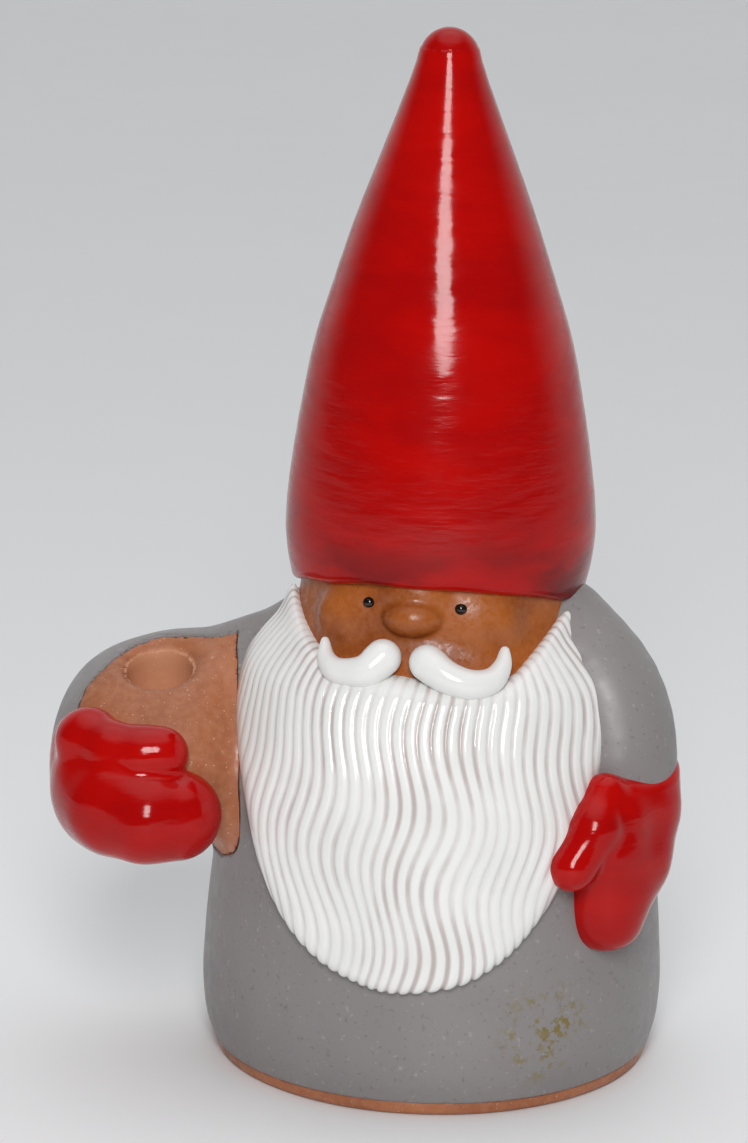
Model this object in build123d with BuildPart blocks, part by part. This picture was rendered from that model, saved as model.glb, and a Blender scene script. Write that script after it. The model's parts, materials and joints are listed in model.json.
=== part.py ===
"""Tomte gnome candle holder in earthenware, built from the separate clay pieces that a potter lutes together.

The figure faces -Y, +X is the figure's left side, and the origin is the centre of the foot on the table.
Units are millimetres.
"""

import os
from math import cos, radians, sin

from build123d import *

# ---------------------------------------------------------------- driving dimensions

# bell-shaped body, thrown hollow and open at the foot
BELLY_RADIUS = 46.4
FOOT_RADIUS = BELLY_RADIUS - 3.6
FOOT_HEIGHT = 2.6
FOOT_FLARE = 1.6
BELLY_HEIGHT = 13.0
CHEST_RADIUS = BELLY_RADIUS - 1.8
CHEST_HEIGHT = 42.0
SHOULDER_RADIUS = BELLY_RADIUS - 9.4
SHOULDER_HEIGHT = 78.0
NECK_RADIUS = 26.5
NECK_HEIGHT = 94.0
CROWN_RADIUS = 22.5
CROWN_HEIGHT = 108.0
BODY_WALL = 5.0

# hat, a hollow cone with its front rim lifted off the face
HAT_RADIUS = 31.0
HAT_LENGTH = 111.5
HAT_TIP_RADIUS = 5.8
HAT_WALL = 5.0
RIM_HEIGHT = 96.3
RIM_LIFT_DEG = 15.1
RIM_LEAN_DEG = 1.7

# face pad on the front of the neck, turned a little to the figure's right
FACE_THICKNESS = 2.9
FACE_HALF_WIDTH = FACE_THICKNESS + 24.5
FACE_CHIN_HEIGHT = 84.5
FACE_TURN_DEG = -3.6
NOSE_HALF_WIDTH = 6.2
NOSE_RADIUS = 4.7
NOSE_HEIGHT = 96.9
EYE_RADIUS = 1.15
EYE_SPREAD_DEG = 20.3
EYE_HEIGHT = 98.4
EYE_STAND = 0.5
EYE_DEPTH = 1.8

# beard slab and moustache
BEARD_THICKNESS = 3.0
BEARD_HALF_WIDTH = 36.5
BEARD_TIP_HEIGHT = 28.7
BEARD_LIP_HEIGHT = 87.8
MOUSTACHE_THICKNESS = 2.3
MOUSTACHE_REACH = 18.6
MOUSTACHE_GAP = 1.1

# candle arm: a round lump of clay beside the body, with the socket on its axis
LUMP_RADIUS = 21.5
LUMP_TOP = 83.5
LUMP_BOTTOM = 45.5
LUMP_ROUND = LUMP_RADIUS - 6.5
LUMP_OFFSET = BELLY_RADIUS + 9.4
LUMP_AZIMUTH_DEG = -78.6
UPPER_ARM_RADIUS = 12.5
UPPER_ARM_START = 5.0
UPPER_ARM_AZIMUTH_DEG = -91.0
SLEEVE_SIDE_WALL = LUMP_RADIUS - 11.0
SLEEVE_BACK_WALL = 7.0
CROOK_RADIUS = LUMP_RADIUS - 5.5
SOCKET_RADIUS = 6.5
SOCKET_DEPTH = 13.0
SOCKET_LIP = 2.6
SOCKET_LIP_FLARE = 1.5

# hanging left arm
ARM_RADIUS = 11.5
ARM_AZIMUTH_DEG = 71.0
WRIST_HEIGHT = 66.0

# mittens
HAND_RADIUS = 9.2
HAND_HEIGHT = 55.5
CUFF_HEIGHT = 74.5
CUFF_RADIUS = 6.2
THUMB_RADIUS = 5.0
THUMB_HEIGHT = 66.5

os.makedirs("parts", exist_ok=True)


# ---------------------------------------------------------------- helpers


def around(azimuth_deg, radius, height):
    """A point at an azimuth from the front, positive towards the figure's left."""
    turn = radians(azimuth_deg)
    return Vector(radius * sin(turn), -radius * cos(turn), height)


def turned_form(points):
    """A solid turned about Z under an outer wall given as (radius, height) points from the bottom up."""
    bottom = points[0]
    top = points[-1]
    with BuildPart() as form:
        with BuildSketch(Plane.XZ):
            with BuildLine():
                Spline(*points)
                Polyline(top, (0, top[1]), (0, bottom[1]), bottom)
            make_face()
        revolve(axis=Axis.Z)
    return form.part


def roll(start, end, radius):
    """A roll of clay with round ends, from one end's outermost point to the other's."""
    middle = (start + end) / 2
    along = end - start
    plane = Plane(origin=middle, x_dir=along, z_dir=along.cross(Vector(0.3, 0.5, 1)))
    with BuildPart() as form:
        with BuildSketch(plane):
            SlotOverall(along.length, 2 * radius)
            Rectangle(along.length, radius, align=(Align.CENTER, Align.MAX), mode=Mode.SUBTRACT)
        revolve(axis=Axis(middle, -along))
    return form.part


# ---------------------------------------------------------------- profiles and forms

# outer wall of the bell from the top of the foot to the crown inside the hat
BELL_WALL = [
    (FOOT_RADIUS + FOOT_FLARE, FOOT_HEIGHT),
    (BELLY_RADIUS, BELLY_HEIGHT),
    (CHEST_RADIUS, CHEST_HEIGHT),
    (SHOULDER_RADIUS, SHOULDER_HEIGHT),
    (NECK_RADIUS, NECK_HEIGHT),
    (CROWN_RADIUS, CROWN_HEIGHT),
]
BELL_CAVITY = [(radius - BODY_WALL, height) for radius, height in BELL_WALL]


def beard_wall(extra=0.0):
    """Outer face of the beard slab: it follows the bell below, and flares out from the chin."""
    belly = BELLY_RADIUS + BEARD_THICKNESS
    chest = CHEST_RADIUS + BEARD_THICKNESS
    chin = NECK_RADIUS + FACE_THICKNESS
    return [
        (belly + extra, BELLY_HEIGHT + 6),
        (belly - 0.4 + extra, BELLY_HEIGHT + 17),
        (chest + extra, CHEST_HEIGHT + 6),
        (SHOULDER_RADIUS + 6.6 + extra, SHOULDER_HEIGHT - 7),
        (SHOULDER_RADIUS + 2.0 + extra, SHOULDER_HEIGHT + 5.5),
        (chin + 2.6 + extra, NECK_HEIGHT - 2.5),
        (chin + 0.4 + extra, NECK_HEIGHT + 3),
        (chin - 0.6 + extra, NECK_HEIGHT + 7),
    ]


FACE_WALL = [
    (NECK_RADIUS + FACE_THICKNESS + 3.8, FACE_CHIN_HEIGHT - 1),
    (NECK_RADIUS + FACE_THICKNESS + 0.4, NECK_HEIGHT - 2),
    (NECK_RADIUS + 1.0, NECK_HEIGHT + 6),
    (NECK_RADIUS - 1.0, NECK_HEIGHT + 14),
]

HAT_WIDEST = RIM_HEIGHT + 11.7
HAT_TOP = RIM_HEIGHT + HAT_LENGTH
HAT_DROP = RIM_HEIGHT - 10

bell_form = turned_form(BELL_WALL)
face_form = turned_form(FACE_WALL)

rim_normal = (sin(radians(RIM_LEAN_DEG)), sin(radians(RIM_LIFT_DEG)), cos(radians(RIM_LIFT_DEG)))
rim_plane = Plane(origin=(0, 0, RIM_HEIGHT), z_dir=rim_normal)

# ---------------------------------------------------------------- body and foot

with BuildPart() as body_shell:
    add(bell_form)
    with BuildSketch(Plane.XZ):
        with BuildLine():
            Spline(*BELL_CAVITY)
            Polyline(BELL_CAVITY[-1], (0, CROWN_HEIGHT), (0, FOOT_HEIGHT), BELL_CAVITY[0])
        make_face()
    revolve(axis=Axis.Z, mode=Mode.SUBTRACT)

with BuildPart() as foot_ring:
    with BuildSketch(Plane.XZ):
        with BuildLine():
            Polyline(
                (FOOT_RADIUS, 0),
                (FOOT_RADIUS + FOOT_FLARE, FOOT_HEIGHT),
                (FOOT_RADIUS + FOOT_FLARE - BODY_WALL, FOOT_HEIGHT),
                (FOOT_RADIUS - BODY_WALL, 0),
                close=True,
            )
        make_face()
    revolve(axis=Axis.Z)

# ---------------------------------------------------------------- face, nose and eyes

FACE_RADIUS = NECK_RADIUS + FACE_THICKNESS - 1.0
FACE_TOP = NECK_HEIGHT + 13

# each eye is a bead of black glaze set in a shallow pocket of the face
eyes = {}
for side, sign in (("left", 1), ("right", -1)):
    eye_azimuth = FACE_TURN_DEG + sign * EYE_SPREAD_DEG
    eye_back = around(eye_azimuth, FACE_RADIUS + EYE_STAND - EYE_DEPTH, EYE_HEIGHT)
    with BuildPart(Plane(origin=eye_back, z_dir=around(eye_azimuth, 1, 0))) as eye:
        Cylinder(EYE_RADIUS, EYE_DEPTH, align=(Align.CENTER, Align.CENTER, Align.MIN))
        front = eye.faces().sort_by(Axis(eye_back, around(eye_azimuth, 1, 0)))[-1]
        fillet(front.edges(), EYE_RADIUS * 0.7)
    eyes[f"eye_{side}"] = eye

with BuildPart() as face:
    add(face_form)
    with BuildSketch(Plane.XZ):
        with Locations((0, FACE_CHIN_HEIGHT)):
            Rectangle(2 * FACE_HALF_WIDTH, FACE_TOP - FACE_CHIN_HEIGHT, align=(Align.CENTER, Align.MIN))
    extrude(amount=BELLY_RADIUS, mode=Mode.INTERSECT)
    add(bell_form, mode=Mode.SUBTRACT)
    for eye in eyes.values():
        add(eye.part, mode=Mode.SUBTRACT)
    split(bisect_by=Plane.XZ.offset(NECK_RADIUS * 0.36), keep=Keep.TOP)

nose_middle = around(FACE_TURN_DEG, FACE_RADIUS, NOSE_HEIGHT)
nose_side = around(FACE_TURN_DEG + 90, NOSE_HALF_WIDTH, 0)

with BuildPart() as nose:
    add(roll(nose_middle - nose_side, nose_middle + nose_side, NOSE_RADIUS))
    add(face_form, mode=Mode.SUBTRACT)

# ---------------------------------------------------------------- hat

with BuildPart() as hat:
    with BuildSketch(Plane.XZ):
        with BuildLine():
            outer = Spline(
                (HAT_RADIUS - 3.6, HAT_DROP),
                (HAT_RADIUS, HAT_WIDEST),
                (HAT_RADIUS - 3.2, HAT_WIDEST + 26.5),
                (HAT_RADIUS - 14.5, HAT_TOP - 33.4),
                (HAT_TIP_RADIUS, HAT_TOP - HAT_TIP_RADIUS),
            )
            outer_tip = Spline(
                outer @ 1,
                (HAT_TIP_RADIUS * 0.64, HAT_TOP - HAT_TIP_RADIUS * 0.3),
                (0, HAT_TOP),
                tangents=(outer % 1, (-1, 0)),
            )
            inner = Spline(
                (HAT_RADIUS - 3.6 - HAT_WALL, HAT_DROP),
                (HAT_RADIUS - HAT_WALL, HAT_WIDEST),
                (HAT_RADIUS - 3.2 - HAT_WALL, HAT_WIDEST + 25),
                (HAT_RADIUS - 14.5 - HAT_WALL, HAT_TOP - 38),
                (0, HAT_TOP - 18),
            )
            Line(outer @ 0, inner @ 0)
            Line(outer_tip @ 1, inner @ 1)
        make_face()
    revolve(axis=Axis.Z)
    split(bisect_by=rim_plane, keep=Keep.TOP)
    add(bell_form, mode=Mode.SUBTRACT)
    add(face_form, mode=Mode.SUBTRACT)

# ---------------------------------------------------------------- beard and moustache

beard_form = turned_form(beard_wall())
moustache_form = turned_form(beard_wall(MOUSTACHE_THICKNESS))

# half outlines of the slab in front view, from the ear down to the tip and from the ear to under the nose
BEARD_EDGE = [
    (FACE_HALF_WIDTH, NECK_HEIGHT + 4.8),
    (BEARD_HALF_WIDTH - 3.2, NECK_HEIGHT - 3.6),
    (BEARD_HALF_WIDTH, SHOULDER_HEIGHT + 2),
    (BEARD_HALF_WIDTH - 1.2, SHOULDER_HEIGHT - 8),
    (BEARD_HALF_WIDTH - 6.3, CHEST_HEIGHT + 14),
    (BEARD_HALF_WIDTH - 12.3, CHEST_HEIGHT),
    (BEARD_HALF_WIDTH - 23.5, BEARD_TIP_HEIGHT + 3.0),
]
LIP_EDGE = [
    (FACE_HALF_WIDTH, NECK_HEIGHT + 4.8),
    (FACE_HALF_WIDTH - 3.6, NECK_HEIGHT - 0.3),
    (FACE_HALF_WIDTH - 9.0, BEARD_LIP_HEIGHT + 0.8),
]


def both_sides(half, middle):
    """The points of a symmetric line from the figure's left, through its middle, to its right."""
    return [*half, middle, *[(-x, height) for x, height in reversed(half)]]


with BuildPart() as beard:
    add(beard_form)
    with BuildSketch(Plane.XZ):
        with BuildLine():
            Spline(*both_sides(BEARD_EDGE, (0, BEARD_TIP_HEIGHT)))
            Spline(*both_sides(LIP_EDGE, (0, BEARD_LIP_HEIGHT)))
        make_face()
    extrude(amount=2 * BELLY_RADIUS, mode=Mode.INTERSECT)
    add(bell_form, mode=Mode.SUBTRACT)
    add(face.part, mode=Mode.SUBTRACT)
    add(hat.part, mode=Mode.SUBTRACT)

MOUSTACHE_TOP = [
    (MOUSTACHE_GAP + 0.4, BEARD_LIP_HEIGHT + 1.6),
    (MOUSTACHE_GAP + 4.6, BEARD_LIP_HEIGHT + 5.4),
    (MOUSTACHE_REACH - 6.6, BEARD_LIP_HEIGHT + 1.0),
    (MOUSTACHE_REACH - 0.9, BEARD_LIP_HEIGHT + 4.2),
]
MOUSTACHE_UNDER = [
    (MOUSTACHE_REACH - 0.9, BEARD_LIP_HEIGHT + 4.2),
    (MOUSTACHE_REACH, BEARD_LIP_HEIGHT + 1.0),
    (MOUSTACHE_REACH - 7.0, BEARD_LIP_HEIGHT - 3.4),
    (MOUSTACHE_GAP + 1.6, BEARD_LIP_HEIGHT - 0.6),
    (MOUSTACHE_GAP + 0.4, BEARD_LIP_HEIGHT + 1.6),
]
moustaches = {}
for side, sign in (("left", 1), ("right", -1)):
    face_plane = Plane.XZ.rotated((0, 0, FACE_TURN_DEG))
    with BuildPart() as half:
        add(moustache_form)
        with BuildSketch(face_plane):
            with BuildLine():
                Spline(*[(sign * x, z) for x, z in MOUSTACHE_TOP])
                Spline(*[(sign * x, z) for x, z in MOUSTACHE_UNDER])
            make_face()
        extrude(amount=BELLY_RADIUS, mode=Mode.INTERSECT)
        add(bell_form, mode=Mode.SUBTRACT)
        add(face_form, mode=Mode.SUBTRACT)
        add(beard.part, mode=Mode.SUBTRACT)
    moustaches[f"moustache_{side}"] = half

# ---------------------------------------------------------------- right mitten, curled round the front of the lump

LUMP_MIDDLE = (LUMP_TOP + LUMP_BOTTOM) / 2
lump_centre = around(LUMP_AZIMUTH_DEG, LUMP_OFFSET, 0)


def beside_lump(azimuth_deg, radius, height):
    """A point at an azimuth and radius about the socket's axis."""
    return lump_centre + around(azimuth_deg, radius, height)


fingers_form = roll(
    beside_lump(-70, LUMP_RADIUS, HAND_HEIGHT + 1),
    beside_lump(33, LUMP_RADIUS + 5.5, HAND_HEIGHT),
    HAND_RADIUS,
)
cuff_form = roll(
    beside_lump(-74, LUMP_RADIUS - CUFF_RADIUS + 1, HAND_HEIGHT - 6),
    beside_lump(-74, LUMP_RADIUS - CUFF_RADIUS + 1, CUFF_HEIGHT),
    CUFF_RADIUS,
)
web_form = roll(
    beside_lump(-68, LUMP_RADIUS + 3, (HAND_HEIGHT + THUMB_HEIGHT) / 2 + 2),
    beside_lump(24, LUMP_RADIUS + 3, (HAND_HEIGHT + THUMB_HEIGHT) / 2),
    THUMB_RADIUS,
)
right_thumb_form = roll(
    beside_lump(-66, LUMP_RADIUS + 2.5, THUMB_HEIGHT + 2),
    beside_lump(18, LUMP_RADIUS + 4.5, THUMB_HEIGHT),
    THUMB_RADIUS,
)

with BuildPart() as right_mitten:
    add(fingers_form)
    add(cuff_form)
    add(web_form)
    add(bell_form, mode=Mode.SUBTRACT)

with BuildPart() as right_thumb:
    add(right_thumb_form)
    add(right_mitten.part, mode=Mode.SUBTRACT)

# ---------------------------------------------------------------- candle arm

lump_plane = Plane.XY.offset(LUMP_BOTTOM)
shoulder_point = around(UPPER_ARM_AZIMUTH_DEG, UPPER_ARM_START, SHOULDER_HEIGHT + 6)
elbow_point = around(UPPER_ARM_AZIMUTH_DEG, LUMP_OFFSET + LUMP_RADIUS - 4, LUMP_MIDDLE - 4)

with BuildPart() as arm_form:
    with BuildSketch(lump_plane):
        with Locations((lump_centre.X, lump_centre.Y)):
            Circle(LUMP_RADIUS)
    extrude(amount=LUMP_TOP - LUMP_BOTTOM)
    fillet(arm_form.edges().group_by(Axis.Z)[-1], LUMP_ROUND)
    fillet(arm_form.edges().group_by(Axis.Z)[0], LUMP_ROUND - 3)
    add(roll(shoulder_point, elbow_point, UPPER_ARM_RADIUS))
    add(bell_form, mode=Mode.SUBTRACT)
    add(hat.part, mode=Mode.SUBTRACT)
    add(beard.part, mode=Mode.SUBTRACT)
    add(right_mitten.part, mode=Mode.SUBTRACT)
    add(right_thumb.part, mode=Mode.SUBTRACT)

# the sleeve keeps the back and outside of the lump; the bare block fills the crook in front of it
CROOK_SIDE = -LUMP_RADIUS + SLEEVE_SIDE_WALL + CROOK_RADIUS
CROOK_BACK = LUMP_RADIUS - SLEEVE_BACK_WALL - CROOK_RADIUS
crook_centre = lump_centre + Vector(CROOK_SIDE, CROOK_BACK)
far = 3 * LUMP_RADIUS
with BuildPart() as crook_form:
    with BuildSketch(lump_plane.offset(-LUMP_ROUND)):
        with Locations((crook_centre.X, crook_centre.Y)):
            Circle(CROOK_RADIUS)
            Rectangle(2 * CROOK_RADIUS, far, align=(Align.CENTER, Align.MAX))
            Rectangle(far, 2 * CROOK_RADIUS, align=(Align.MIN, Align.CENTER))
            Rectangle(far, far, align=(Align.MIN, Align.MAX))
    extrude(amount=LUMP_TOP - LUMP_BOTTOM + 2 * LUMP_ROUND)

with BuildPart() as right_sleeve:
    add(arm_form.part)
    add(crook_form.part, mode=Mode.SUBTRACT)

socket_mouth = LUMP_TOP - SOCKET_LIP
with BuildPart() as candle_block:
    add(arm_form.part)
    add(crook_form.part, mode=Mode.INTERSECT)
    with Locations((lump_centre.X, lump_centre.Y, socket_mouth)):
        Cylinder(SOCKET_RADIUS, SOCKET_DEPTH, align=(Align.CENTER, Align.CENTER, Align.MAX), mode=Mode.SUBTRACT)
        Cone(
            SOCKET_RADIUS,
            SOCKET_RADIUS + SOCKET_LIP_FLARE,
            SOCKET_LIP,
            align=(Align.CENTER, Align.CENTER, Align.MIN),
            mode=Mode.SUBTRACT,
        )

# ---------------------------------------------------------------- left arm and mitten, hanging at the side

shoulder = around(ARM_AZIMUTH_DEG + 4, NECK_RADIUS - 3, NECK_HEIGHT + 3)
wrist = around(ARM_AZIMUTH_DEG - 4, CHEST_RADIUS + 0.5, WRIST_HEIGHT)
left_arm_form = roll(shoulder, wrist - Vector(0, 0, ARM_RADIUS - 3), ARM_RADIUS)
left_palm_form = roll(
    wrist + Vector(1, 0, HAND_RADIUS - 3),
    around(ARM_AZIMUTH_DEG - 22, CHEST_RADIUS + 4.5, WRIST_HEIGHT - 35),
    HAND_RADIUS,
)
left_thumb_form = roll(
    around(ARM_AZIMUTH_DEG - 18, CHEST_RADIUS + 4.5, WRIST_HEIGHT + 3),
    around(ARM_AZIMUTH_DEG - 33, CHEST_RADIUS + 6.5, WRIST_HEIGHT - 20),
    THUMB_RADIUS,
)

with BuildPart() as left_mitten:
    add(left_palm_form)
    add(bell_form, mode=Mode.SUBTRACT)
    add(beard.part, mode=Mode.SUBTRACT)

with BuildPart() as left_thumb:
    add(left_thumb_form)
    add(bell_form, mode=Mode.SUBTRACT)
    add(beard.part, mode=Mode.SUBTRACT)
    add(left_mitten.part, mode=Mode.SUBTRACT)

with BuildPart() as left_sleeve:
    add(left_arm_form)
    add(bell_form, mode=Mode.SUBTRACT)
    add(face_form, mode=Mode.SUBTRACT)
    add(hat.part, mode=Mode.SUBTRACT)
    add(beard.part, mode=Mode.SUBTRACT)
    add(left_mitten.part, mode=Mode.SUBTRACT)
    add(left_thumb.part, mode=Mode.SUBTRACT)

# ---------------------------------------------------------------- export

pieces = {
    "body_shell": body_shell,
    "foot_ring": foot_ring,
    "face": face,
    "nose": nose,
    **eyes,
    **moustaches,
    "beard": beard,
    "hat": hat,
    "right_sleeve": right_sleeve,
    "candle_block": candle_block,
    "right_mitten": right_mitten,
    "right_thumb": right_thumb,
    "left_sleeve": left_sleeve,
    "left_mitten": left_mitten,
    "left_thumb": left_thumb,
}
for name, piece in pieces.items():
    piece.part.label = name
    export_step(piece.part, f"parts/{name}.step")
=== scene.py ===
"""Looks of the tomte gnome candle holder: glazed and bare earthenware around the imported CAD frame.

Every form is a distance field in millimetres that is meshed on a grid and drawn onto its own level,
so pieces that grow out of each other in clay do so here. Blender objects are in metres.
"""

import itertools
import json
import math

import bpy
import numpy as np
from mathutils import Matrix, Vector


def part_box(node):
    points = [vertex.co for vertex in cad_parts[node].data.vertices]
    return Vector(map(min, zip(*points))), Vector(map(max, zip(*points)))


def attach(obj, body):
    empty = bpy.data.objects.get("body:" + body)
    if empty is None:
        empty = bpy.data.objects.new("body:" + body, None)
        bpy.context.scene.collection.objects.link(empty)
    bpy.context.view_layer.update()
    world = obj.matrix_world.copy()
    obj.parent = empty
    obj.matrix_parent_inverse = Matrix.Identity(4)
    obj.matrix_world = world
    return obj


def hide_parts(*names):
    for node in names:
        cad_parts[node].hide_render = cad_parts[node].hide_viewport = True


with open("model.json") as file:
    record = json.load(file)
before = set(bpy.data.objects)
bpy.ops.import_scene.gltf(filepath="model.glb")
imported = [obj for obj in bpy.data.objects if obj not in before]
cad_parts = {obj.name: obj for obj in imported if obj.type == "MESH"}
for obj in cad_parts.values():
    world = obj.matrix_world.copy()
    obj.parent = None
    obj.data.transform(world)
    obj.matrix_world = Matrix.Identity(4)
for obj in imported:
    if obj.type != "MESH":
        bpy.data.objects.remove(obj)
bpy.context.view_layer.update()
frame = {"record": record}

MM = 1000.0

# ---------------------------------------------------------------- places taken from the CAD


def box_middle(node):
    """Middle of a CAD node's box, in millimetres."""
    low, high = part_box(node)
    return np.array(low + high) * MM / 2


def mount_place(name):
    """A mount's place from the record, in millimetres."""
    found = [m for m in frame["record"]["mounts"] if m["name"] == name]
    return np.array(found[0]["pos_m"]) * MM, found[0]["dims"]


HAT_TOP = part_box("hat")[1].z * MM
FOOT_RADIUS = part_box("foot_ring")[1].x * MM
FOOT_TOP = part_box("foot_ring")[1].z * MM
BEARD_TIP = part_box("beard")[0].z * MM
NOSE = box_middle("nose")
EYES = {side: box_middle("eye_" + side) for side in ("left", "right")}
EYE_NUDGE = {"left": (-0.7, 0, 0.4), "right": (1.0, 0, 0.5)}
SOCKET, SOCKET_DIMS = mount_place("candle_socket")
SOCKET_RADIUS = SOCKET_DIMS["r_mm"]
LUMP = SOCKET[:2]
LUMP_AWAY = LUMP / np.linalg.norm(LUMP)
RIM_HEIGHT = 94.9
RIM_NORMAL = np.array([0.030, 0.260, 0.965])
LIP_HEIGHT = SOCKET[2] + 6.0
SOCKET_HALF_DEPTH = 6.5
LUMP_TILT = np.array([0.0, -0.30, 0.954])
LUMP_RADIUS = 21.9
LUMP_BOTTOM = 44.6

# thicknesses and levels that the CAD doesn't give, in millimetres
GLAZE = 0.25
WALL = 5.0
HOLLOW_TOP = 100
COAT_TOP = 106
HAT_WALL = 4.6
HAT_TIP_RADIUS = 5.9
CROOK_EDGE = 40.4  # how far out from the body's axis the bare clay starts
CROOK_BOTTOM = 42.4
GILT_PLACE = (0.026, -0.037, 0.0165)  # in metres, in object coordinates
HAT_DARK_RIM = (0.095, 0.122)  # heights in metres between which the dark blotches fade

# ---------------------------------------------------------------- profiles, as (height, radius)

BODY = [
    (0, 44.0), (FOOT_TOP, FOOT_RADIUS), (7, 45.7), (13, 46.4), (24, 46.0), (36, 45.1), (48, 43.9),
    (60, 42.4), (70, 39.8), (78, 36.9), (86, 32.0), (94, 26.6), (101, 23.8), (108, 22.4),
]
HAT = [
    (80, 26.2), (88, 27.6), (98, 29.4), (103, 30.4), (108, 30.9), (114, 30.7), (122, 29.8), (134, 27.9),
    (146, 25.5), (158, 21.9), (170, 18.0), (182, 13.5), (192, 9.7), (198, 7.5), (204, 5.5),
]
FACE = [
    (78, 38.2), (82, 36.0), (85, 33.8), (88, 31.6), (92, 29.4), (96, 28.3), (101, 27.7), (106, 26.8),
    (112, 25.4),
]
BEARD = [
    (18, 49.0), (30, 49.0), (45, 48.2), (60, 46.3), (70, 44.0), (77, 41.8), (83.5, 39.0), (87.5, 35.8),
    (91.5, 32.4), (96, 30.4), (102, 29.0),
]
# (across, height) from under the moustache down the figure's left, round the tip and up its right
BEARD_OUTLINE = [
    (-3, 86.2), (5, 85.2), (13, 85.0), (17.6, 86.0), (20.6, 88.8), (23.4, 92.0), (25.4, 94.6),
    (27.6, 96.6), (30.6, 94.6), (34.4, 88.5), (36.8, 82.0), (37.2, 76.0), (36.2, 69.5), (33.6, 59.5),
    (30.4, 49.5), (26.0, 41.0), (20.0, 33.6), (12.5, 28.6), (5.0, BEARD_TIP - 2.0),
    (-3, BEARD_TIP - 2.6), (-10, BEARD_TIP - 1.0), (-17.5, 31.0), (-24.5, 37.0), (-30.2, 46.0),
    (-33.8, 56.0), (-36.8, 66.0), (-38.6, 74.0), (-38.6, 81.0), (-36.6, 88.5), (-33.8, 95.5),
    (-31.0, 103.0), (-27.6, 104.0), (-27.4, 97.0), (-25.6, 93.4), (-22.8, 90.6), (-18, 87.6),
    (-11, 86.4),
]

# ---------------------------------------------------------------- distance fields


def curve(points):
    """A smooth line through (place, value) points, level past both ends."""
    place, value = np.array(points, float).T
    slope = np.gradient(value, place)

    def at(x):
        x = np.clip(x, place[0], place[-1])
        i = np.clip(np.searchsorted(place, x) - 1, 0, len(place) - 2)
        width = place[i + 1] - place[i]
        s = (x - place[i]) / width
        first = (2 * s**3 - 3 * s**2 + 1) * value[i] + (s**3 - 2 * s**2 + s) * width * slope[i]
        return first + (3 * s**2 - 2 * s**3) * value[i + 1] + (s**3 - s**2) * width * slope[i + 1]

    return at


def join(a, b, soft):
    """Union of two fields, with a fillet about soft wide."""
    near = np.maximum(soft - np.abs(a - b), 0) / soft
    return np.minimum(a, b) - near**2 * soft / 4


def cut(a, b, soft):
    """What two fields share, with the edge rounded about soft wide."""
    return -join(-a, -b, soft)


def turned(p, wall, centre=(0.0, 0.0)):
    """Distance outside a form turned about an upright axis."""
    lean = wall(p[:, 2] + 0.5) - wall(p[:, 2] - 0.5)
    return (np.hypot(p[:, 0] - centre[0], p[:, 1] - centre[1]) - wall(p[:, 2])) / np.sqrt(1 + lean**2)


def limb(p, stations, soft=1.0):
    """Distance outside a roll of clay through (x, y, z, radius) stations."""
    whole = None
    for a, b in itertools.pairwise(np.array(stations, float)):
        along = b[:3] - a[:3]
        t = np.clip((p - a[:3]) @ along / (along @ along), 0, 1)
        part = np.linalg.norm(p - a[:3] - t[:, None] * along, axis=1) - (a[3] + t * (b[3] - a[3]))
        whole = part if whole is None else join(whole, part, soft)
    return whole


def bent(stations, pieces=5):
    """More stations for a roll, so that it bends smoothly through the ones given."""
    columns = np.array(stations, float).T
    place = np.arange(columns.shape[1])
    fine = np.linspace(0, place[-1], place[-1] * pieces + 1)
    return np.stack([curve(list(zip(place, column)))(fine) for column in columns], 1)


def ball(p, centre, radii):
    """Distance outside an ellipsoid, close to its surface."""
    scaled = (p - centre) / radii
    size = np.linalg.norm(scaled, axis=1)
    return size * (size - 1) / np.maximum(np.linalg.norm(scaled / radii, axis=1), 1e-6)


def outline_distance(across, up, corners):
    """Signed distance to a closed flat outline, negative inside."""
    q = np.stack([across, up], -1)
    best = np.full(len(q), 1e9)
    inside = np.zeros(len(q), bool)
    for a, b in zip(corners, np.roll(corners, -1, axis=0)):
        edge = b - a
        t = np.clip((q - a) @ edge / (edge @ edge), 0, 1)
        best = np.minimum(best, np.linalg.norm(q - a - t[:, None] * edge, axis=1))
        rises = (a[1] > up) != (b[1] > up)
        if a[1] != b[1]:
            inside ^= rises & (across < a[0] + (up - a[1]) * edge[0] / (b[1] - a[1]))
    return np.where(inside, -best, best)


def smooth_outline(points, pieces=4):
    """An outline's corners, drawn through the points as one smooth closed line."""
    points = np.array(points, float)
    before, after, beyond = np.roll(points, 1, 0), np.roll(points, -1, 0), np.roll(points, -2, 0)
    corners = []
    for t in np.arange(pieces) / pieces:
        corners.append(
            0.5 * (2 * points + (after - before) * t + (2 * before - 5 * points + 4 * after - beyond) * t**2
                   + (3 * points - before - 3 * after + beyond) * t**3)
        )
    return np.stack(corners, 1).reshape(-1, 2)


def unevenness(p, size, seed):
    """A smooth irregular swell of about one either way, as hands leave in clay."""
    random = np.random.default_rng(seed)
    total = 0
    for _ in range(6):
        way = random.normal(size=3)
        turn = random.uniform(0, 2 * math.pi)
        along = p @ (way / np.linalg.norm(way))
        total = total + np.sin(along * 2 * math.pi / (size * random.uniform(0.7, 1.5)) + turn)
    return total / 3


# ---------------------------------------------------------------- the forms

body_wall, hat_wall, face_wall, beard_wall = curve(BODY), curve(HAT), curve(FACE), curve(BEARD)

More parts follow.
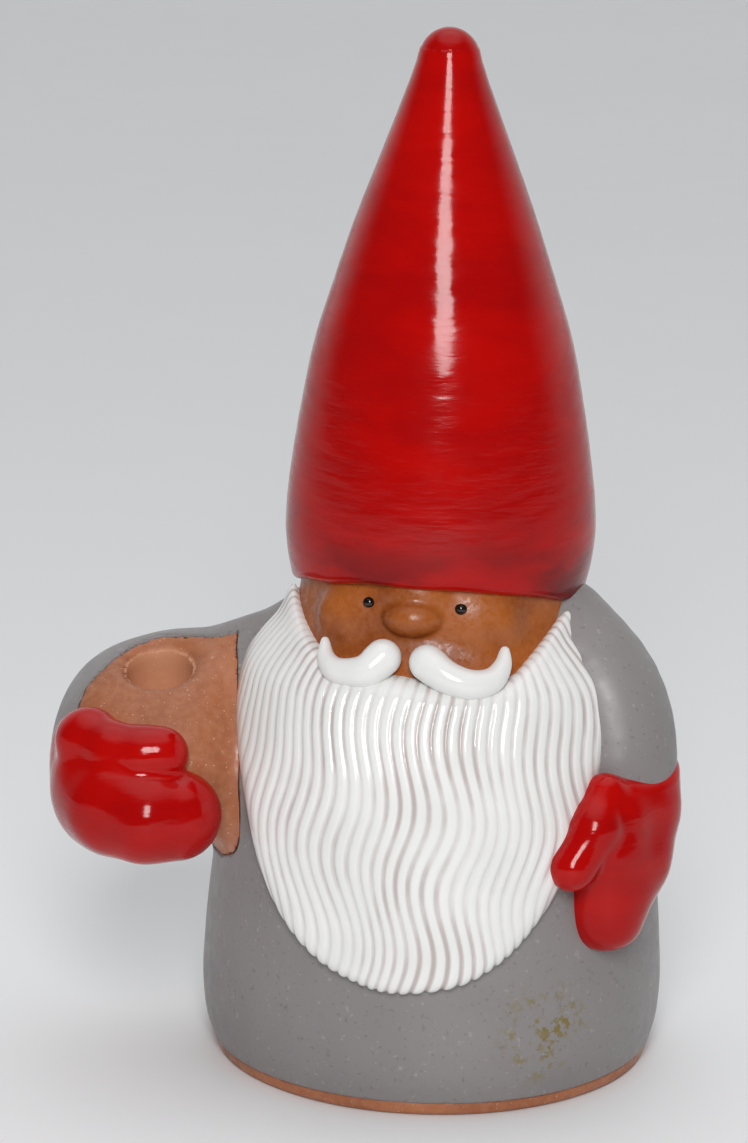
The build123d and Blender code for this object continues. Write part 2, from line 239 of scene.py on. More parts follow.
LEFT_ARM = [
    (24, -4, 88.3, 11.3), (34.2, -10, 78.7, 11.4), (37.8, -14.2, 66.5, 11.4), (37.6, -17.5, 52, 10.2),
]
RIGHT_ARM = [(-18, 1, 85, 11.0), (-36, 1.5, 76, 10.5), (-50, 0.5, 70, 10.5), (-58, -3, 63, 14.0)]
RIGHT_FINGERS = [
    (-62.1, -28.5, 56.8, 9.5), (-59.5, -32.0, 56.6, 9.5), (-53.0, -34.0, 55.5, 9.4),
    (-47.5, -32.5, 55.3, 9.0),
]
RIGHT_PALM = [(-66.0, -16, 61.0, 9.8), (-62.6, -23, 57.2, 10.8), (-60.5, -28.0, 56.6, 10.2)]
RIGHT_THUMB = [
    (-68.5, -19.0, 66.0, 5.9), (-66.1, -27.0, 68.2, 6.0), (-60.5, -31.0, 67.2, 5.5),
    (-54.0, -32.0, 67.2, 5.5), (-50.6, -31.8, 67.4, 5.5),
]
RIGHT_WEB = [(-65.8, -20.0, 62.0, 8.6), (-63.2, -26.0, 62.0, 8.2), (-58.0, -29.5, 61.5, 7.0)]
LEFT_PALM = [(42.0, -17.5, 56.2, 8.0), (39.8, -21.5, 47.5, 8.6), (37.2, -26.4, 38.0, 7.6)]
LEFT_WEB = [(38.4, -26.2, 58.5, 6.6), (36.9, -28.6, 51.5, 6.6), (37.4, -26.8, 44.0, 7.2)]
WRIST = (41.0, -25.0, 64.6)
LEFT_THUMB = [(36.8, -28.6, 63.2, 4.2), (35.2, -32.3, 57.4, 5.0), (31.4, -36.2, 50.4, 4.8)]
MOUSTACHE = {
    "right": [
        (-6.8, -33.2, 89.8, 3.6), (-9.6, -34.8, 87.6, 3.1), (-13.0, -34.4, 86.9, 2.6),
        (-16.2, -33.0, 86.9, 2.3), (-18.3, -30.4, 88.4, 1.7), (-19.0, -27.4, 90.9, 0.9),
    ],
    "left": [
        (1.9, -34.0, 89.4, 3.6), (5.8, -35.7, 87.3, 3.1), (10.5, -35.8, 86.0, 2.8), (14.4, -33.9, 86.5, 2.4),
        (16.2, -31.3, 88.8, 1.7), (16.4, -28.9, 91.2, 0.9),
    ],
}
# plan of the bare clay in the crook of the candle arm
CROOK = [
    (-36, -5.4), (-43.5, -3.7), (-50, -2.5), (-55.8, -1.9), (-59.6, -3.6), (-62.4, -7.2), (-65.2, -11),
    (-67.5, -14.2), (-69.4, -18.5), (-71, -24), (-74, -34), (-90, -60), (-20, -70), (-20, -20),
]
crook_corners = smooth_outline(CROOK)
left_arm = bent(LEFT_ARM, 4)


def body_field(p):
    """The thrown bell under coat, beard and arms."""
    return turned(p, body_wall)


def lump_field(p):
    """The round lump that the candle stands in."""
    side = np.hypot(p[:, 0] - LUMP[0], p[:, 1] - LUMP[1]) - LUMP_RADIUS
    above = (p - (*LUMP, LIP_HEIGHT)) @ LUMP_TILT
    whole = cut(cut(side, above, 20), LUMP_BOTTOM - p[:, 2], 19)
    return whole + 0.15 * unevenness(p, 24, 3)


def clay_field(p):
    """Body, both arms and the lump as one piece of clay."""
    arm = limb(p, RIGHT_ARM, 3)
    side = join(lump_field(p), arm, 6)
    whole = join(body_field(p), side, 6)
    whole = join(whole, limb(p, left_arm, 0.5), 2.5) + 0.12 * unevenness(p, 34, 8)
    return cut(whole, -socket_field(p), 2.6)


def crook_field(p):
    """Where the candle arm was left bare."""
    plan = outline_distance(p[:, 0], p[:, 1], crook_corners)
    edge = CROOK_EDGE - p[:, :2] @ LUMP_AWAY
    return np.maximum(plan, cut(edge, CROOK_BOTTOM - p[:, 2], 7)) + 0.2 * unevenness(p, 9, 5)


def socket_field(p):
    """The candle's hole, with its lip worn round."""
    side = np.hypot(p[:, 0] - LUMP[0], p[:, 1] - LUMP[1]) - SOCKET_RADIUS
    above = (p - (*LUMP, LIP_HEIGHT)) @ LUMP_TILT
    flare = side - 0.5 - 0.5 * np.clip(above + 1.5, 0, 3)
    floor = SOCKET[2] - SOCKET_HALF_DEPTH - p[:, 2]
    return cut(np.minimum(side, np.maximum(flare, -1.5 - above)), floor, 1.5)


def coat_field(p):
    """Grey glazed part: everything but the crook, hollow as thrown."""
    inner = np.maximum(body_field(p) + WALL, p[:, 2] - HOLLOW_TOP)
    whole = np.maximum(clay_field(p) - GLAZE, -crook_field(p) + 0.05)
    whole = cut(whole, p[:, 2] - COAT_TOP, 2)
    return cut(cut(whole, -inner, 0.8), FOOT_TOP - p[:, 2], 0.9)


def candle_lump_field(p):
    """Bare clay of the crook, reaching a little into the body, with the socket in it."""
    whole = np.maximum(clay_field(p), crook_field(p))
    return np.maximum(whole, -body_field(p) - 1.0)


def foot_field(p):
    """Unglazed foot ring under the coat."""
    outer = cut(body_field(p) + 0.1 + 0.1 * unevenness(p, 30, 4), -p[:, 2], 1.2)
    inner = body_field(p) + WALL
    return cut(cut(outer, -inner, 0.8), p[:, 2] - FOOT_TOP - 0.4, 0.4)


def face_field(p):
    """Face pad with a snub nose growing out of it."""
    whole = turned(p, face_wall) + 0.10 * unevenness(p, 14, 11)
    nose = ball(p, NOSE + (0, 2.6, -0.4), np.array([6.0, 4.9, 3.9]))
    brow = ball(p, NOSE + (0, 4.4, 3.4), np.array([6.0, 3.6, 4.6]))
    whole = join(join(whole, brow, 3.0), nose, 0.8)
    for side in (-1, 1):
        cheek = ball(p, NOSE + (side * 12.0, 7.6 - side * 0.4, -1.8), np.array([7.0, 4.2, 5.0]))
        whole = join(whole, cheek, 5.0)
    whole = cut(whole, -(turned(p, face_wall) + 5.5), 0.5)
    return cut(np.maximum(whole, p[:, 1] + 7.5), p[:, 2] - 108, 0.5)


def eye_field(p, centre):
    """Flattened bead of glaze standing out of the face."""
    out = np.array([centre[0], centre[1], 0.0])
    out /= np.linalg.norm(out)
    flat = ball(p, centre + out * 1.05, np.array([1.2, 1.0, 1.1]))
    return flat + 0.03 * unevenness(p, 2.0, 2)


def moustache_field(p, side):
    """One half of the moustache, a roll that tapers to an upturned tip."""
    return limb(p, bent(MOUSTACHE[side]), 0.4) + 0.05 * unevenness(p, 9, 20)


def groove_phase(p):
    """Which comb line of the beard a point lies on: the lines wave, and draw together towards the tip."""
    across = 45.0 * np.arctan2(p[:, 0], -p[:, 1])
    drawn = 1 - 0.22 * np.clip((76 - p[:, 2]) / 44, 0, 1) ** 1.3
    wave = 1.45 * np.cos(2 * math.pi * (p[:, 2] - 63 + 0.22 * across) / 28.5)
    wander = 0.45 * unevenness(p * (1, 0.2, 0.45), 17, 31)
    return (across - wave - wander) / (2.8 * drawn)


def groove_depth(p):
    """0 on a ridge and 1 in the bottom of a comb line."""
    return (0.5 + 0.5 * np.cos(2 * math.pi * groove_phase(p))) ** 2


beard_corners = smooth_outline(BEARD_OUTLINE)


def beard_field(p):
    """Slab of white slip combed into wavy locks."""
    depth = groove_depth(p)
    combed = 0.30 + 0.10 * unevenness(p, 21, 14)
    outline = outline_distance(p[:, 0], p[:, 2], beard_corners)
    ends = np.clip((52 - p[:, 2]) / 20, 0, 1) * 0.4 + 0.05
    combed = combed * np.clip((-outline - 0.7) / 3.6, 0, 1) * (1 - 0.6 * np.clip((p[:, 2] - 86) / 9, 0, 1))
    slab = cut(turned(p, beard_wall), outline + ends * depth, 2.8) + combed * depth
    slab = np.maximum(slab, np.maximum(-(body_field(p) + 0.8), p[:, 1] + 8))
    return np.maximum(slab, -(turned(p, face_wall) + 0.6))


def hat_field(p):
    """Tall hat, hollowed at the rim where it sits on the head."""
    outer = turned(p, hat_wall)
    tip = np.linalg.norm(p - (0, 0, HAT_TOP - HAT_TIP_RADIUS), axis=1) - HAT_TIP_RADIUS
    outer = join(np.maximum(outer, p[:, 2] - HAT_TOP + 4.2), tip, 0.6)
    outer = outer + 0.10 * unevenness(p, 30, 41) + 0.016 * unevenness(p * (0.35, 0.35, 1), 2.6, 43)
    above = (p - (0, 0, RIM_HEIGHT)) @ RIM_NORMAL / np.linalg.norm(RIM_NORMAL)
    uneven = 0.30 * unevenness(p * (1, 1, 0), 19, 44)
    whole = cut(outer, uneven - above, 1.5)
    pocket = cut(turned(p, hat_wall) + HAT_WALL, above - 9, 2)
    return cut(whole, -pocket, 1.0)


def right_mitten_field(p):
    """Hand that holds the candle lump from in front, thumb on top."""
    hand = join(limb(p, RIGHT_FINGERS, 2), join(limb(p, RIGHT_PALM, 3), limb(p, RIGHT_WEB, 3), 3), 4)
    whole = join(hand, limb(p, RIGHT_THUMB, 2), 1.6)
    return whole + 0.16 * unevenness(p, 12, 51)


def left_mitten_field(p):
    """Hanging hand with its thumb across the edge of the beard."""
    above = (p - WRIST) @ (0.05, -0.12, 0.99)
    cuff = cut(cut(limb(p, left_arm, 0.5) - 0.9, above + 0.35 * unevenness(p, 13, 53), 1.6), 46 - p[:, 2], 3)
    hand = join(join(limb(p, LEFT_PALM, 3), cuff, 4), limb(p, LEFT_WEB, 2), 4)
    whole = join(hand, limb(p, LEFT_THUMB, 2), 1.4)
    return whole + 0.14 * unevenness(p, 11, 52)


# ---------------------------------------------------------------- meshing


def in_parts(field, p):
    """The field at many points, a part at a time."""
    return np.concatenate([field(part) for part in np.array_split(p, len(p) // 150000 + 1)])


def gradient(field, p, reach=0.03):
    """The field's slope at each point, by differences."""
    steps = np.eye(3) * reach
    return np.stack([in_parts(field, p + s) - in_parts(field, p - s) for s in steps], -1) / (2 * reach)


def grid_values(field, axes, step):
    """The field on a grid: everywhere on every fourth line, and exactly wherever the surface is near."""
    shape = [len(a) for a in axes]
    coarse_axes = [a[::4] for a in axes]
    points = np.stack(np.meshgrid(*coarse_axes, indexing="ij"), -1)
    coarse = in_parts(field, points.reshape(-1, 3)).reshape(points.shape[:3])
    nearest = [(np.arange(n) + 1) // 4 for n in shape]
    picks = np.ix_(*[n - n // len(c) for n, c in zip(nearest, coarse_axes)])
    values = coarse[picks].copy()
    near = np.abs(values) < 5.5 * step
    where = np.argwhere(near)
    exact = np.stack([a[where[:, i]] for i, a in enumerate(axes)], -1)
    values[near] = in_parts(field, exact)
    return values


def crossing_cells(values):
    """The grid cells that the surface passes through, and the middle of its crossings in each."""
    shape = np.array(values.shape) - 1
    corners = list(itertools.product((0, 1), repeat=3))
    window = {c: tuple(slice(o, o + n) for o, n in zip(c, shape)) for c in corners}
    inside = sum((values[window[c]] < 0).astype(np.int8) for c in corners)
    active = (inside > 0) & (inside < 8)
    cells = np.argwhere(active)
    at = {c: values[tuple((cells + c).T)] for c in corners}
    total, hits = np.zeros((len(cells), 3)), np.zeros(len(cells))
    for a, b in itertools.combinations(corners, 2):
        if sum(abs(x - y) for x, y in zip(a, b)) != 1:
            continue
        crossed = (at[a] < 0) != (at[b] < 0)
        t = np.where(crossed, at[a] / np.where(crossed, at[a] - at[b], 1), 0)
        total += crossed[:, None] * (np.array(a) + t[:, None] * (np.array(b) - np.array(a)))
        hits += crossed
    number = np.full(shape, -1)
    number[active] = np.arange(len(cells))
    return cells + total / hits[:, None], number


def crossing_faces(values, number):
    """One four-sided face for each grid edge that the surface crosses, facing outwards."""
    faces = []
    for axis in range(3):
        u, v = (axis + 1) % 3, (axis + 2) % 3
        lower = np.take(values, range(values.shape[axis] - 1), axis) < 0
        upper = np.take(values, range(1, values.shape[axis]), axis) < 0
        edges = np.argwhere(lower != upper)
        fits = (edges[:, u] < number.shape[u]) & (edges[:, v] < number.shape[v])
        edges = edges[fits & (edges[:, [u, v]] > 0).all(1)]
        quads = []
        for du, dv in ((1, 1), (0, 1), (0, 0), (1, 0)):
            cell = edges.copy()
            cell[:, u] -= du
            cell[:, v] -= dv
            quads.append(number[tuple(cell.T)])
        quads = np.stack(quads, 1)
        out = lower[tuple(edges.T)]
        faces.append(np.where(out[:, None], quads, quads[:, ::-1]))
    return np.concatenate(faces)


def surface(name, field, low, high, step):
    """A closed smooth mesh of a field's zero level, and its vertices in millimetres."""
    axes = [np.arange(a, b + 4 * step, step) for a, b in zip(low, high)]
    values = grid_values(field, axes, step)
    cells, number = crossing_cells(values)
    p = cells * step + np.array([a[0] for a in axes])
    for _ in range(2):
        slope = gradient(field, p)
        steep = np.maximum((slope**2).sum(1), 0.2)
        p = p - np.clip(in_parts(field, p) / steep, -step, step)[:, None] * slope
    normals = gradient(field, p)
    normals /= np.maximum(np.linalg.norm(normals, axis=1), 1e-9)[:, None]
    mesh = bpy.data.meshes.new(name)
    mesh.from_pydata(p / MM, [], crossing_faces(values, number))
    mesh.validate()
    mesh.shade_smooth()
    mesh.normals_split_custom_set_from_vertices(normals.tolist())
    return mesh, p


def mark(mesh, name, values):
    """Keeps a value at each vertex for a material to read."""
    mesh.attributes.new(name, "FLOAT", "POINT").data.foreach_set("value", values.astype(np.float32))


def piece(name, mesh, material, slot, *nodes):
    """Puts a mesh in the scene in place of CAD nodes, riding on the one body."""
    made = bpy.data.objects.new(name, mesh)
    bpy.context.scene.collection.objects.link(made)
    mesh.materials.append(material)
    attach(made, "root")
    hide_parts(*nodes)
    return made


# ---------------------------------------------------------------- materials


class Shader:
    """A node material around one Principled shader, in object coordinates."""

    def __init__(self, name, **sockets):
        self.material = bpy.data.materials.new(name)
        self.material.use_nodes = True
        self.tree = self.material.node_tree
        self.main = self.tree.nodes["Principled BSDF"]
        for socket, value in sockets.items():
            self.main.inputs[socket.replace("_", " ")].default_value = value
        self.place = self.tree.nodes.new("ShaderNodeTexCoord").outputs["Object"]

    def link(self, source, target):
        if hasattr(source, "is_output"):
            self.tree.links.new(source, target)
        else:
            target.default_value = source

    def scaled(self, x, y, z, shift=(0, 0, 0)):
        node = self.tree.nodes.new("ShaderNodeMapping")
        self.link(self.place, node.inputs["Vector"])
        node.inputs["Scale"].default_value = (x, y, z)
        node.inputs["Location"].default_value = shift
        return node.outputs["Vector"]

    def noise(self, scale, detail=4.0, roughness=0.5, stretch=(1, 1, 1), distortion=0.0, shift=(0, 0, 0)):
        node = self.tree.nodes.new("ShaderNodeTexNoise")
        self.link(self.scaled(*stretch, shift=shift), node.inputs["Vector"])
        node.inputs["Scale"].default_value = scale
        node.inputs["Detail"].default_value = detail
        node.inputs["Roughness"].default_value = roughness
        node.inputs["Distortion"].default_value = distortion
        return node.outputs["Fac"]

    def attribute(self, name):
        node = self.tree.nodes.new("ShaderNodeAttribute")
        node.attribute_name = name
        return node.outputs["Fac"]

    def axis(self, letter):
        node = self.tree.nodes.new("ShaderNodeSeparateXYZ")
        self.link(self.place, node.inputs[0])
        return node.outputs[letter]

    def ramp(self, value, low, high, start=0.0, end=1.0):
        """value from low..high becomes start..end, kept between them."""
        node = self.tree.nodes.new("ShaderNodeMapRange")
        node.interpolation_type = "SMOOTHSTEP"
        self.link(value, node.inputs["Value"])
        node.inputs["From Min"].default_value = low
        node.inputs["From Max"].default_value = high
        node.inputs["To Min"].default_value = start
        node.inputs["To Max"].default_value = end
        return node.outputs["Result"]

    def math(self, operation, a, b=0.0):
        node = self.tree.nodes.new("ShaderNodeMath")
        node.operation = operation
        self.link(a, node.inputs[0])
        self.link(b, node.inputs[1])
        return node.outputs[0]

    def mix(self, factor, a, b):
        node = self.tree.nodes.new("ShaderNodeMix")
        node.data_type = "RGBA"
        self.link(factor, node.inputs["Factor"])
        for socket, source in (("A", a), ("B", b)):
            self.link(source if hasattr(source, "is_output") else (*source, 1.0), node.inputs[socket])
        return node.outputs["Result"]

    def bump(self, height, distance, strength=1.0):
        node = self.tree.nodes.new("ShaderNodeBump")
        node.inputs["Distance"].default_value = distance
        node.inputs["Strength"].default_value = strength
        self.link(height, node.inputs["Height"])
        if self.main.inputs["Normal"].links:
            self.link(self.main.inputs["Normal"].links[0].from_socket, node.inputs["Normal"])
        self.link(node.outputs["Normal"], self.main.inputs["Normal"])

    def colour(self, source):
        self.link(source, self.main.inputs["Base Color"])

    def roughness(self, source):
        self.link(source, self.main.inputs["Roughness"])


def red_glaze(name, rim=None):
    """Thick brushed red glaze. With a rim, given as two heights, it is blotched dark and duller low down."""
    s = Shader(name, IOR=1.5, Specular_IOR_Level=0.24)
    broad = s.noise(55, detail=5, stretch=(0.55, 0.55, 1.5), distortion=0.6)
    strokes = s.noise(240, detail=3, stretch=(0.25, 0.25, 1.6))
    colour = s.mix(s.ramp(broad, 0.30, 0.68), (0.360, 0.0018, 0.0020), (0.450, 0.0024, 0.0016))
    colour = s.mix(s.ramp(strokes, 0.45, 0.75, 0.0, 0.22), colour, (0.500, 0.0040, 0.0020))
    if rim:
        low, high = rim
        near = s.ramp(s.axis("Z"), low, high, 1.0, 0.0)
        blotch = s.ramp(s.noise(95, detail=4, stretch=(0.5, 0.5, 1.3), shift=(0.3, 0, 0)), 0.42, 0.62)
        colour = s.mix(s.math("MULTIPLY", near, blotch), colour, (0.130, 0.0012, 0.0020))
    s.colour(colour)
    worn = s.ramp(s.axis("Z"), 0.125, 0.162, 0.06, 0.0) if rim else 0.0
    s.roughness(s.math("ADD", s.ramp(s.noise(160, detail=3), 0.3, 0.7, 0.08, 0.15), worn))
    s.bump(s.noise(430, detail=2, stretch=(0.3, 0.3, 1.5)), 0.00018, 0.5)
    s.bump(s.noise(1100, detail=3, stretch=(0.22, 0.22, 1.5)), 0.00005, 0.45)
    return s.material


def grey_glaze(name, gilt_place):
    """Smooth warm grey glaze with fine specks and a worn patch of gilt low on the front."""
    s = Shader(name, IOR=1.48, Specular_IOR_Level=0.42)
    cloud = s.noise(28, detail=4)
    speck = s.noise(900, detail=2, roughness=0.6)
    colour = s.mix(s.ramp(cloud, 0.3, 0.7), (0.232, 0.212, 0.212), (0.262, 0.243, 0.240))
    colour = s.mix(s.ramp(speck, 0.60, 0.74, 0.0, 0.55), colour, (0.150, 0.130, 0.128))
    pale = s.ramp(s.noise(700, detail=2, shift=(0.2, 0.1, 0)), 0.63, 0.74, 0.0, 0.4)
    colour = s.mix(pale, colour, (0.42, 0.40, 0.38))
    offset = s.tree.nodes.new("ShaderNodeVectorMath")
    offset.operation = "DISTANCE"
    s.link(s.place, offset.inputs[0])
    offset.inputs[1].default_value = gilt_place
    within = s.ramp(offset.outputs["Value"], 0.005, 0.0125, 1.0, 0.0)
    flakes = s.ramp(s.noise(620, detail=5, roughness=0.7), 0.49, 0.54)
    clumps = s.ramp(s.noise(190, detail=3, shift=(0.5, 0, 0)), 0.44, 0.56)
    gilt = s.math("MULTIPLY", s.math("MULTIPLY", within, flakes), clumps)
    colour = s.mix(s.math("MULTIPLY", gilt, 0.85), colour, (0.26, 0.20, 0.045))
    s.colour(colour)
    s.link(s.math("MULTIPLY", gilt, 0.6), s.main.inputs["Metallic"])
    s.roughness(s.ramp(s.noise(300, detail=3), 0.3, 0.7, 0.34, 0.44))
    s.bump(s.noise(800, detail=2), 0.00003, 0.35)
    return s.material


def white_glaze(name, grooved):
    """Glossy off-white glaze, mauve brown in the comb lines: partly painted shade, partly glaze thin over
    the clay.
    """
    s = Shader(name, IOR=1.5)
    cloud = s.ramp(s.noise(60, detail=4), 0.3, 0.7)
    colour = s.mix(cloud, (0.800, 0.800, 0.780), (0.860, 0.855, 0.840))
    if grooved:
        # partly painted shade: the comb lines are darkened mauve brown by their depth, partly the glaze thin
        # over the clay
        groove_shade_and_thin_glaze = s.ramp(s.attribute("groove"), 0.15, 0.95)
        patchy = s.ramp(s.noise(75, detail=4, stretch=(1, 1, 0.45)), 0.38, 0.64, 0.15, 0.95)
        colour = s.mix(s.math("MULTIPLY", groove_shade_and_thin_glaze, patchy), colour, (0.500, 0.430, 0.415))
    s.colour(colour)
    s.roughness(s.ramp(s.noise(200, detail=3), 0.3, 0.7, 0.10, 0.18))
    s.bump(s.noise(380, detail=2), 0.00008, 0.3)
    return s.material


def bare_clay(name):
    """Unglazed red clay with wiped on slip, mottled, with painted glints of light, and painted light that
    makes it paler inside the hole.
    """
    s = Shader(name, IOR=1.45)
    broad = s.ramp(s.noise(48, detail=5, distortion=0.4), 0.32, 0.68)
    grain = s.ramp(s.noise(650, detail=3), 0.35, 0.70)
    colour = s.mix(broad, (0.330, 0.108, 0.044), (0.440, 0.155, 0.068))
    colour = s.mix(s.math("MULTIPLY", grain, 0.35), colour, (0.500, 0.215, 0.110))
    pits = s.ramp(s.noise(1300, detail=2), 0.62, 0.74, 0.0, 0.45)
    colour = s.mix(pits, colour, (0.170, 0.062, 0.028))
    # painted glints: pale specks that stand for light sparkling on the clay
    painted_glints = s.ramp(s.noise(1900, detail=2, shift=(0.1, 0.4, 0)), 0.68, 0.74, 0.0, 0.6)
    colour = s.mix(painted_glints, colour, (0.800, 0.620, 0.480))
    # painted light: the clay inside the socket is painted paler where light falls into the hole
    colour = s.mix(s.math("MULTIPLY", s.attribute("hole"), 0.7), colour, (0.680, 0.330, 0.190))
    s.colour(colour)
    s.roughness(s.ramp(s.noise(420, detail=4), 0.35, 0.65, 0.28, 0.58))
    s.bump(s.noise(520, detail=4), 0.00010, 0.45)
    s.bump(s.noise(1800, detail=2), 0.00003, 0.5)
    return s.material


def brown_wash(name):
    """Shiny brown wash over clay, pooled darker in streaks."""
    s = Shader(name, IOR=1.5, Specular_IOR_Level=0.40)
    broad = s.ramp(s.noise(70, detail=5, distortion=0.5), 0.32, 0.68)
    grain = s.ramp(s.noise(900, detail=3), 0.35, 0.70)
    colour = s.mix(broad, (0.262, 0.060, 0.009), (0.380, 0.102, 0.018))
    colour = s.mix(s.math("MULTIPLY", grain, 0.30), colour, (0.450, 0.150, 0.040))
    s.colour(colour)
    s.roughness(s.ramp(s.noise(700, detail=4), 0.38, 0.62, 0.24, 0.46))
    s.bump(s.noise(1300, detail=4), 0.00009, 0.6)
    return s.material


def black_glaze(name):
    """Drop of black glaze, a little brown where it is thin."""
    s = Shader(name, IOR=1.52)
    s.colour(s.mix(s.ramp(s.noise(1200, detail=3), 0.4, 0.7), (0.004, 0.003, 0.003), (0.016, 0.009, 0.006)))
    s.roughness(s.ramp(s.noise(900, detail=2), 0.3, 0.7, 0.05, 0.12))
    return s.material


def pale_floor(name):
    """Matt, nearly white paper under the figure."""
    s = Shader(name, IOR=1.4)
    s.colour(s.mix(s.ramp(s.noise(3, detail=3), 0.3, 0.7), (0.840, 0.845, 0.850), (0.850, 0.855, 0.865)))
    s.roughness(s.ramp(s.noise(40, detail=3), 0.3, 0.7, 0.55, 0.65))
    return s.material


# ---------------------------------------------------------------- the pieces


def build_body():
    mesh, _ = surface("coat", coat_field, (-81, -50, 0), (53, 50, 108), 0.8)
    piece("coat", mesh, grey_glaze("grey_glaze", GILT_PLACE), "grey_glaze",
          "body_shell", "left_sleeve", "right_sleeve")
    mesh, _ = surface("foot", foot_field, (-49, -49, -1), (49, 49, 4.5), 0.5)
    piece("foot", mesh, bare_clay("bare_clay_foot"), "bare_clay", "foot_ring")
    mesh, p = surface("candle_lump", candle_lump_field, (-80, -38, 42), (-34, 12, 88), 0.55)
    # marks the inside of the socket, where the clay's colour is painted paler as painted light
    hole = np.clip(SOCKET_RADIUS + 1.0 - np.hypot(p[:, 0] - LUMP[0], p[:, 1] - LUMP[1]), 0, 1)
    mark(mesh, "hole", hole)
    piece("candle_lump", mesh, bare_clay("bare_clay"), "bare_clay", "candle_block")


def build_head():
    mesh, _ = surface("face_and_nose", face_field, (-33, -40, 78), (33, -5, 110), 0.45)
    piece("face_and_nose", mesh, brown_wash("brown_wash"), "brown_wash", "face", "nose")
    for side, centre in EYES.items():
        centre = centre + EYE_NUDGE[side]
        name = "eye_bead_" + side
        mesh, _ = surface(name, lambda p, c=centre: eye_field(p, c), centre - 2.2, centre + 2.2, 0.15)
        piece(name, mesh, black_glaze("black_glaze_" + side), "black_glaze", "eye_" + side)
    mesh, _ = surface("pointed_hat", hat_field, (-34, -34, 84), (34, 34, HAT_TOP + 2), 0.6)
    piece("pointed_hat", mesh, red_glaze("red_glaze_hat", rim=HAT_DARK_RIM), "red_glaze", "hat")


def build_beard():
    mesh, p = surface("combed_beard", beard_field, (-39, -52, BEARD_TIP - 3), (39, -6, 101), 0.4)
    # groove depth, which the white glaze uses to darken the comb lines, partly as painted shade
    mark(mesh, "groove", groove_depth(p))
    piece("combed_beard", mesh, white_glaze("white_glaze_beard", grooved=True), "white_glaze", "beard")
    for side, x in (("left", 8), ("right", -12)):
        low, high = np.array([x - 13, -42, 80]), np.array([x + 14, -22, 96])
        name = "curled_moustache_" + side
        mesh, _ = surface(name, lambda p, s=side: moustache_field(p, s), low, high, 0.3)
        material = white_glaze("white_glaze_" + side, grooved=False)
        piece(name, mesh, material, "white_glaze", "moustache_" + side)


def build_mittens():
    mesh, _ = surface("red_mitten_right", right_mitten_field, (-82, -48, 40), (-32, -2, 80), 0.5)
    piece("red_mitten_right", mesh, red_glaze("red_glaze_right"), "red_glaze", "right_mitten", "right_thumb")
    mesh, _ = surface("red_mitten_left", left_mitten_field, (22, -44, 26), (56, -3, 78), 0.5)
    piece("red_mitten_left", mesh, red_glaze("red_glaze_left"), "red_glaze", "left_mitten", "left_thumb")


# ---------------------------------------------------------------- stage


CAMERA_PLACE = (0.09668, -0.83468, 0.3175)
CAMERA_PITCH, CAMERA_YAW, CAMERA_ROLL = 14.6, 7.5, 0.9  # degrees
CAMERA_FIELD = 15.0  # degrees from top to bottom


def camera():
    """The view from a little to the figure's left, looking slightly down."""
    pitch, yaw, roll = (math.radians(a) for a in (CAMERA_PITCH, CAMERA_YAW, CAMERA_ROLL))
    ahead = Vector((0, math.cos(pitch), -math.sin(pitch)))
    right, up = Vector((1, 0, 0)), Vector((0, math.sin(pitch), math.cos(pitch)))
    across = right * math.cos(roll) + up * math.sin(roll)
    upward = up * math.cos(roll) - right * math.sin(roll)
    turn = Matrix.Rotation(yaw, 3, "Z")
    data = bpy.data.cameras.new("camera")
    data.sensor_width = 24.0
    data.lens = data.sensor_width / 2 / math.tan(math.radians(CAMERA_FIELD / 2))
    data.clip_end = 20
    made = bpy.data.objects.new("camera", data)
    bpy.context.scene.collection.objects.link(made)
    basis = Matrix((turn @ across, turn @ upward, turn @ -ahead)).transposed().to_4x4()
    made.matrix_world = Matrix.Translation(CAMERA_PLACE) @ basis
    bpy.context.scene.camera = made


def soft_light(name, azimuth, elevation, distance, width, height, power):
    """An area light facing the figure; azimuth 0 is in front of it, positive to its left."""
    a, e = math.radians(azimuth), math.radians(elevation)
    aim = Vector((0, 0, 0.12))
    away = Vector((math.sin(a) * math.cos(e), -math.cos(a) * math.cos(e), math.sin(e)))
    data = bpy.data.lights.new(name, "AREA")
    data.shape = "ELLIPSE"
    data.size, data.size_y, data.energy = width, height, power
    made = bpy.data.objects.new(name, data)
    bpy.context.scene.collection.objects.link(made)
    made.location = aim + away * distance
    made.rotation_mode = "QUATERNION"
    made.rotation_quaternion = away.to_track_quat("Z", "Y")


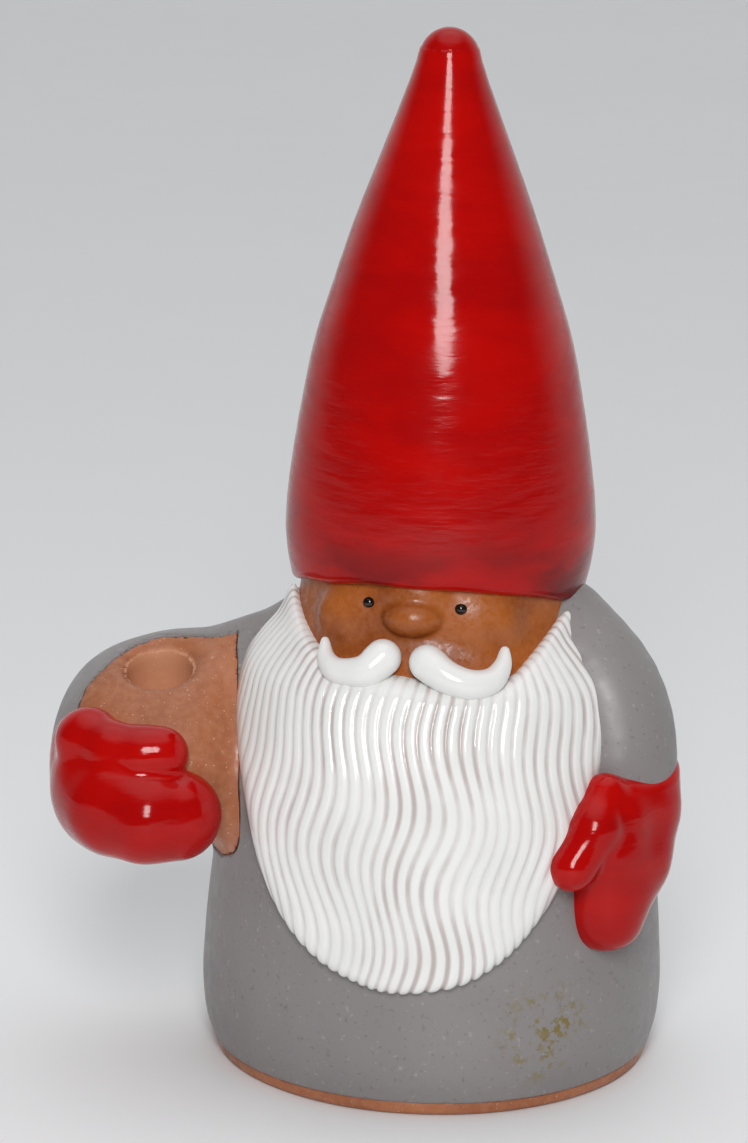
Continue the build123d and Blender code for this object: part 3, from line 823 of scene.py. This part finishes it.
SKY_FRONT, SKY_BEHIND, SKY_ABOVE = 0.03, 0.72, 1.2
FLOOR_REACH, FLOOR_LINES = 6, 13


def stage():
    """Pale floor, one oval soft light high in front, and a studio that is bright above and behind."""
    bpy.context.scene.view_settings.view_transform = "Standard"
    world = bpy.data.worlds.new("studio")
    world.use_nodes = True
    sky = world.node_tree
    parts = sky.nodes.new("ShaderNodeSeparateXYZ")
    sky.links.new(sky.nodes.new("ShaderNodeTexCoord").outputs["Generated"], parts.inputs[0])
    total = None
    for letter, start, end, strength in (("Y", 0.0, 0.7, SKY_BEHIND), ("Z", 0.72, 0.98, SKY_ABOVE)):
        rise = sky.nodes.new("ShaderNodeMapRange")
        rise.interpolation_type = "SMOOTHSTEP"
        sky.links.new(parts.outputs[letter], rise.inputs["Value"])
        rise.inputs["From Min"].default_value = start
        rise.inputs["From Max"].default_value = end
        rise.inputs["To Min"].default_value = SKY_FRONT
        rise.inputs["To Max"].default_value = strength
        add = sky.nodes.new("ShaderNodeMath")
        sky.links.new(rise.outputs["Result"], add.inputs[0])
        add.inputs[1].default_value = 0
        if total:
            sky.links.new(total, add.inputs[1])
        total = add.outputs[0]
    sky.nodes["Background"].inputs["Color"].default_value = (0.97, 0.985, 1.0, 1)
    sky.links.new(total, sky.nodes["Background"].inputs["Strength"])
    bpy.context.scene.world = world
    mesh = bpy.data.meshes.new("floor")
    steps = np.linspace(-FLOOR_REACH, FLOOR_REACH, FLOOR_LINES)
    corners = [(x, y, 0) for y in steps for x in steps]
    starts = [j * FLOOR_LINES + i for j in range(FLOOR_LINES - 1) for i in range(FLOOR_LINES - 1)]
    quads = [(k, k + 1, k + FLOOR_LINES + 1, k + FLOOR_LINES) for k in starts]
    mesh.from_pydata(corners, [], quads)
    mesh.materials.append(pale_floor("pale_floor"))
    floor = bpy.data.objects.new("floor", mesh)
    bpy.context.scene.collection.objects.link(floor)
    soft_light("key", 6.0, 29, 1.3, 0.36, 0.62, 11)


camera()
stage()
build_body()
build_head()
build_beard()
build_mittens()
